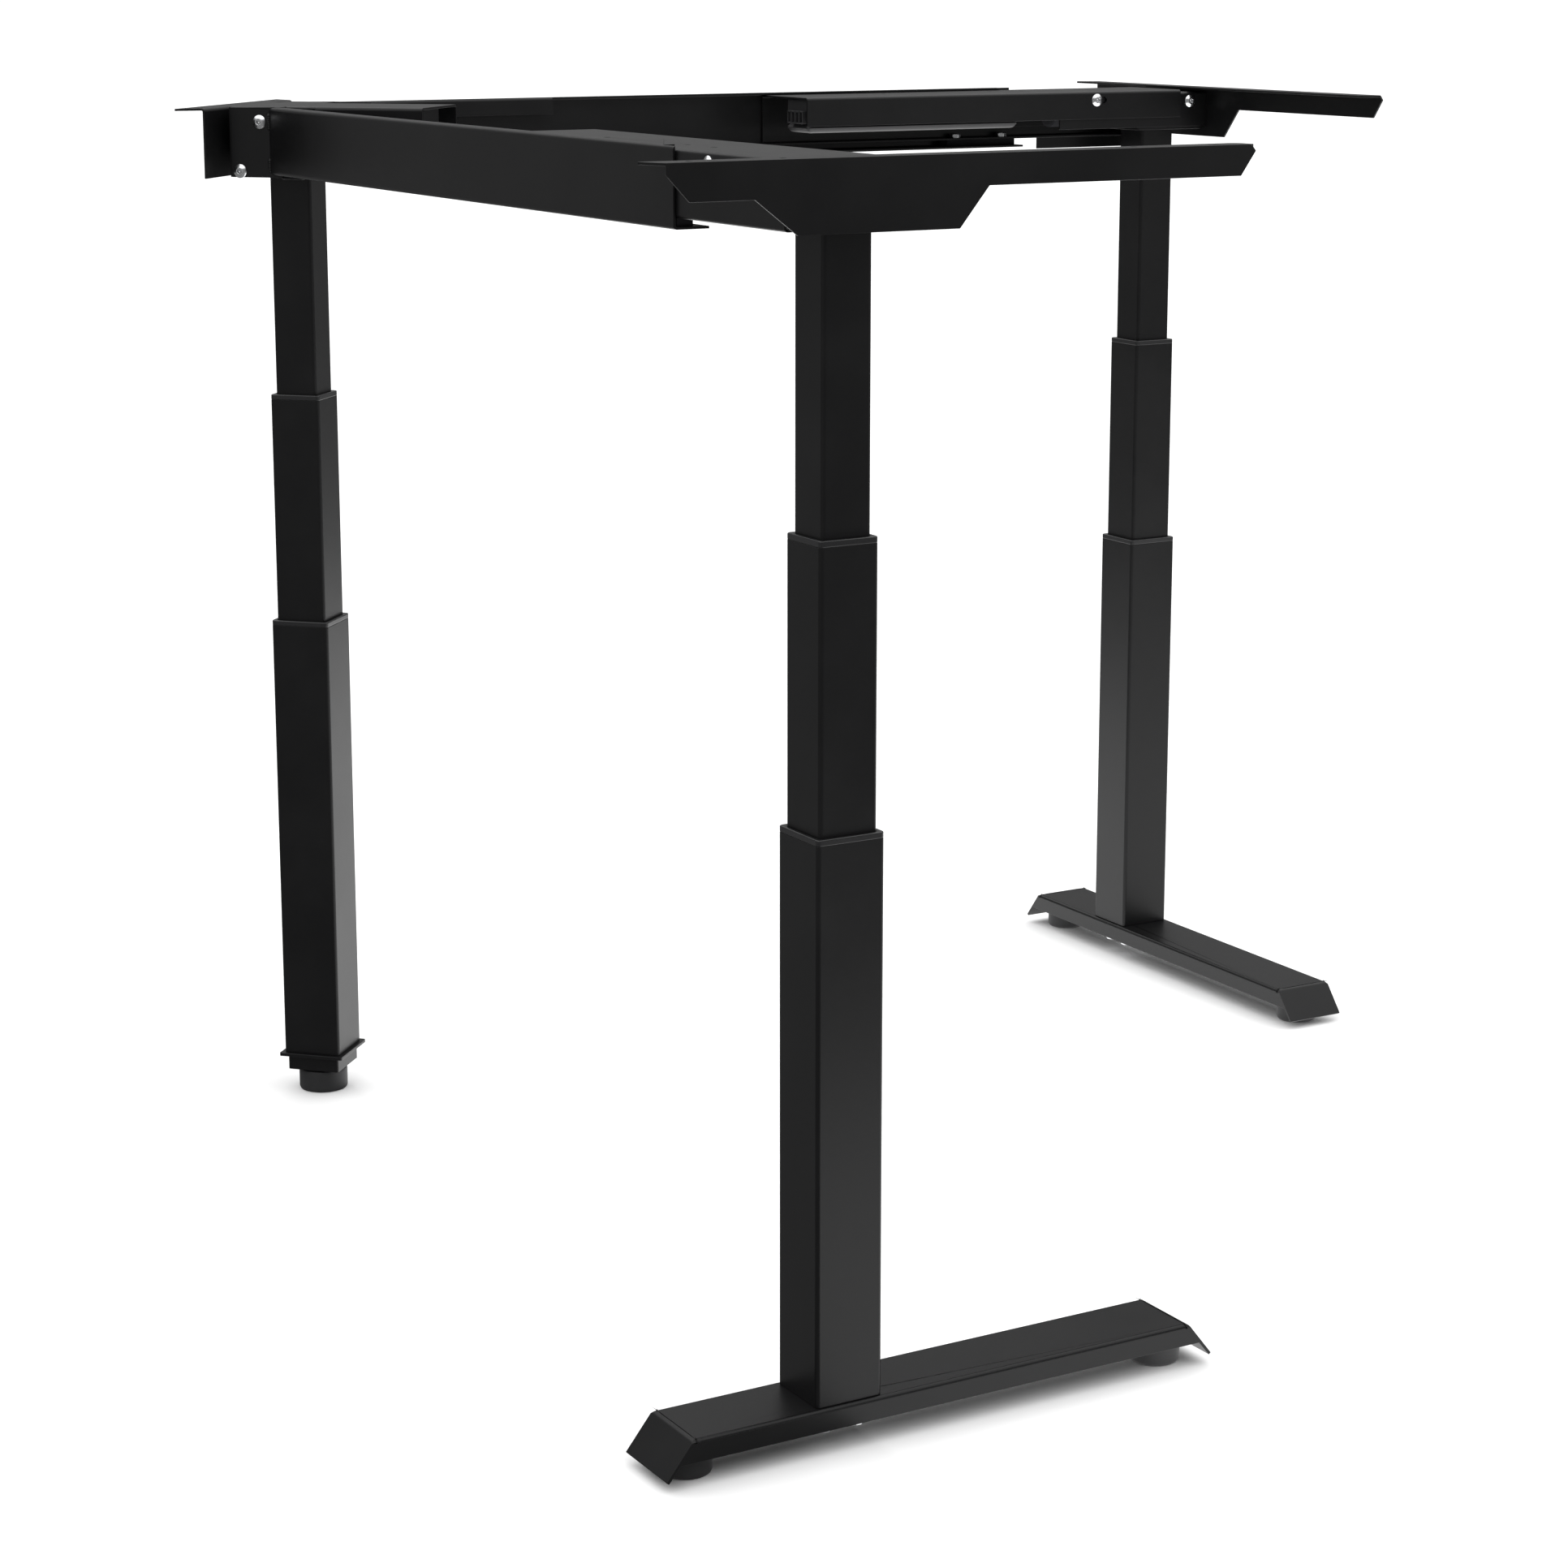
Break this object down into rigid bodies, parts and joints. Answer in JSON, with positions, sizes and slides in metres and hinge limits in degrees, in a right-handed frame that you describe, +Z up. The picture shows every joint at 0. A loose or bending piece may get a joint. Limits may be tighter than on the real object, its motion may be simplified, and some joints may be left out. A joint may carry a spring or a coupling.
{
  "type": "height adjustable standing desk frame",
  "caption": "L-shaped electric sit-stand desk frame with telescopic legs, extending beams, levelling feet and brackets for a desktop.",
  "frame": {"origin": "on the floor, on the corner leg's axis", "axes": "+Z up, +X along the beam to leg B, -Y along the beam to leg A"},
  "size_m": [1.4665, 1.4665, 1.178],
  "materials": {
    "black_powder_coat": "satin, fine texture",
    "collar_plastic": "semi-gloss",
    "nut_tube_steel": "plain steel",
    "pad_plastic": "matt, with a zinc-plated stud",
    "glide_plastic": "natural nylon, matt",
    "screw_steel": "rolled thread, greased",
    "motor_housing": "dark satin",
    "block_steel": "satin black",
    "zinc": "zinc plated",
    "box_plastic": "fine matt texture"
  },
  "bodies": {
    "corner_base": {"corner_outer_tube": "black_powder_coat", "corner_outer_collar": "collar_plastic", "corner_foot": "black_powder_coat", "corner_nut_tube": "nut_tube_steel"},
    "corner_leveller": {"corner_leveller": "pad_plastic"},
    "corner_middle": {"corner_middle_tube": "black_powder_coat", "corner_middle_collar": "collar_plastic", "corner_middle_glides": "glide_plastic"},
    "corner_hollow_screw": {"corner_hollow_screw": "screw_steel"},
    "corner_top": {"corner_inner_tube": "black_powder_coat", "corner_inner_glides": "glide_plastic", "corner_head": "black_powder_coat", "corner_head_ears": "black_powder_coat", "corner_drive_motor": "motor_housing", "corner_bracket": "black_powder_coat", "beam_a_fixed_rail": "black_powder_coat", "beam_b_fixed_rail": "black_powder_coat", "beam_guide_blocks": "block_steel", "corner_bolts": "zinc", "rail_clamp_bolts": "zinc"},
    "corner_spindle": {"corner_spindle": "screw_steel"},
    "arm_a": {"leg_a_inner_tube": "black_powder_coat", "leg_a_inner_glides": "glide_plastic", "leg_a_head": "black_powder_coat", "leg_a_drive_motor": "motor_housing", "leg_a_side_bracket": "black_powder_coat", "beam_a_sliding_rail": "black_powder_coat", "leg_a_head_bolts": "zinc"},
    "leg_a_spindle": {"leg_a_spindle": "screw_steel"},
    "leg_a_middle": {"leg_a_middle_tube": "black_powder_coat", "leg_a_middle_collar": "collar_plastic", "leg_a_middle_glides": "glide_plastic"},
    "leg_a_hollow_screw": {"leg_a_hollow_screw": "screw_steel"},
    "leg_a_base": {"leg_a_outer_tube": "black_powder_coat", "leg_a_outer_collar": "collar_plastic", "leg_a_foot": "black_powder_coat", "leg_a_nut_tube": "nut_tube_steel", "leg_a_foot_bolts": "zinc"},
    "leg_a_leveller_short": {"leg_a_leveller_short": "pad_plastic"},
    "leg_a_leveller_long": {"leg_a_leveller_long": "pad_plastic"},
    "arm_b": {"leg_b_inner_tube": "black_powder_coat", "leg_b_inner_glides": "glide_plastic", "leg_b_head": "black_powder_coat", "leg_b_drive_motor": "motor_housing", "leg_b_side_bracket": "black_powder_coat", "beam_b_sliding_rail": "black_powder_coat", "leg_b_head_bolts": "zinc", "control_box": "box_plastic"},
    "leg_b_spindle": {"leg_b_spindle": "screw_steel"},
    "leg_b_middle": {"leg_b_middle_tube": "black_powder_coat", "leg_b_middle_collar": "collar_plastic", "leg_b_middle_glides": "glide_plastic"},
    "leg_b_hollow_screw": {"leg_b_hollow_screw": "screw_steel"},
    "leg_b_base": {"leg_b_outer_tube": "black_powder_coat", "leg_b_outer_collar": "collar_plastic", "leg_b_foot": "black_powder_coat", "leg_b_nut_tube": "nut_tube_steel", "leg_b_foot_bolts": "zinc"},
    "leg_b_leveller_short": {"leg_b_leveller_short": "pad_plastic"},
    "leg_b_leveller_long": {"leg_b_leveller_long": "pad_plastic"}
  },
  "joints": [
    {"name": "corner_lower_lift", "type": "slide", "parent": "corner_base", "child": "corner_middle", "axis": [0, 0, 1], "range_m": [-0.254, 0.032]},
    {"name": "corner_upper_lift", "type": "slide", "parent": "corner_middle", "child": "corner_top", "axis": [0, 0, 1], "range_m": [-0.254, 0.032]},
    {"name": "corner_hollow_screw_spin", "type": "hinge", "parent": "corner_middle", "child": "corner_hollow_screw", "pos_m": [0, 0, 0.5], "axis": [0, 0, 1], "continuous": true},
    {"name": "corner_spindle_spin", "type": "hinge", "parent": "corner_top", "child": "corner_spindle", "pos_m": [0, 0, 1], "axis": [0, 0, 1], "continuous": true},
    {"name": "corner_leveller_height", "type": "slide", "parent": "corner_base", "child": "corner_leveller", "axis": [0, 0, -1], "range_m": [-0.002, 0.006]},
    {"name": "beam_a_length", "type": "slide", "parent": "corner_top", "child": "arm_a", "axis": [0, -1, 0], "range_m": [-0.04, 0.25]},
    {"name": "leg_a_upper_lift", "type": "slide", "parent": "arm_a", "child": "leg_a_middle", "axis": [0, 0, -1], "range_m": [-0.254, 0.032]},
    {"name": "leg_a_lower_lift", "type": "slide", "parent": "leg_a_middle", "child": "leg_a_base", "axis": [0, 0, -1], "range_m": [-0.254, 0.032]},
    {"name": "leg_a_hollow_screw_spin", "type": "hinge", "parent": "leg_a_middle", "child": "leg_a_hollow_screw", "pos_m": [0, -1.2, 0.5], "axis": [0, 0, 1], "continuous": true},
    {"name": "leg_a_spindle_spin", "type": "hinge", "parent": "arm_a", "child": "leg_a_spindle", "pos_m": [0, -1.2, 1], "axis": [0, 0, 1], "continuous": true},
    {"name": "leg_a_leveller_short_height", "type": "slide", "parent": "leg_a_base", "child": "leg_a_leveller_short", "axis": [0, 0, -1], "range_m": [0, 0.008]},
    {"name": "leg_a_leveller_long_height", "type": "slide", "parent": "leg_a_base", "child": "leg_a_leveller_long", "axis": [0, 0, -1], "range_m": [0, 0.008]},
    {"name": "beam_b_length", "type": "slide", "parent": "corner_top", "child": "arm_b", "axis": [1, 0, 0], "range_m": [-0.04, 0.25]},
    {"name": "leg_b_upper_lift", "type": "slide", "parent": "arm_b", "child": "leg_b_middle", "axis": [0, 0, -1], "range_m": [-0.254, 0.032]},
    {"name": "leg_b_lower_lift", "type": "slide", "parent": "leg_b_middle", "child": "leg_b_base", "axis": [0, 0, -1], "range_m": [-0.254, 0.032]},
    {"name": "leg_b_hollow_screw_spin", "type": "hinge", "parent": "leg_b_middle", "child": "leg_b_hollow_screw", "pos_m": [1.2, 0, 0.5], "axis": [0, 0, 1], "continuous": true},
    {"name": "leg_b_spindle_spin", "type": "hinge", "parent": "arm_b", "child": "leg_b_spindle", "pos_m": [1.2, 0, 1], "axis": [0, 0, 1], "continuous": true},
    {"name": "leg_b_leveller_short_height", "type": "slide", "parent": "leg_b_base", "child": "leg_b_leveller_short", "axis": [0, 0, -1], "range_m": [0, 0.008]},
    {"name": "leg_b_leveller_long_height", "type": "slide", "parent": "leg_b_base", "child": "leg_b_leveller_long", "axis": [0, 0, -1], "range_m": [0, 0.008]}
  ],
  "couplings": [
    {"joint": "corner_upper_lift", "follows": "corner_lower_lift", "ratio": 1},
    {"joint": "corner_hollow_screw_spin", "follows": "corner_lower_lift", "rad_per_m": 628.32},
    {"joint": "corner_spindle_spin", "follows": "corner_lower_lift", "rad_per_m": 628.32},
    {"joint": "leg_a_upper_lift", "follows": "corner_lower_lift", "ratio": 1},
    {"joint": "leg_a_lower_lift", "follows": "corner_lower_lift", "ratio": 1},
    {"joint": "leg_a_hollow_screw_spin", "follows": "corner_lower_lift", "rad_per_m": 628.32},
    {"joint": "leg_a_spindle_spin", "follows": "corner_lower_lift", "rad_per_m": 628.32},
    {"joint": "leg_b_upper_lift", "follows": "corner_lower_lift", "ratio": 1},
    {"joint": "leg_b_lower_lift", "follows": "corner_lower_lift", "ratio": 1},
    {"joint": "leg_b_hollow_screw_spin", "follows": "corner_lower_lift", "rad_per_m": 628.32},
    {"joint": "leg_b_spindle_spin", "follows": "corner_lower_lift", "rad_per_m": 628.32}
  ]
}
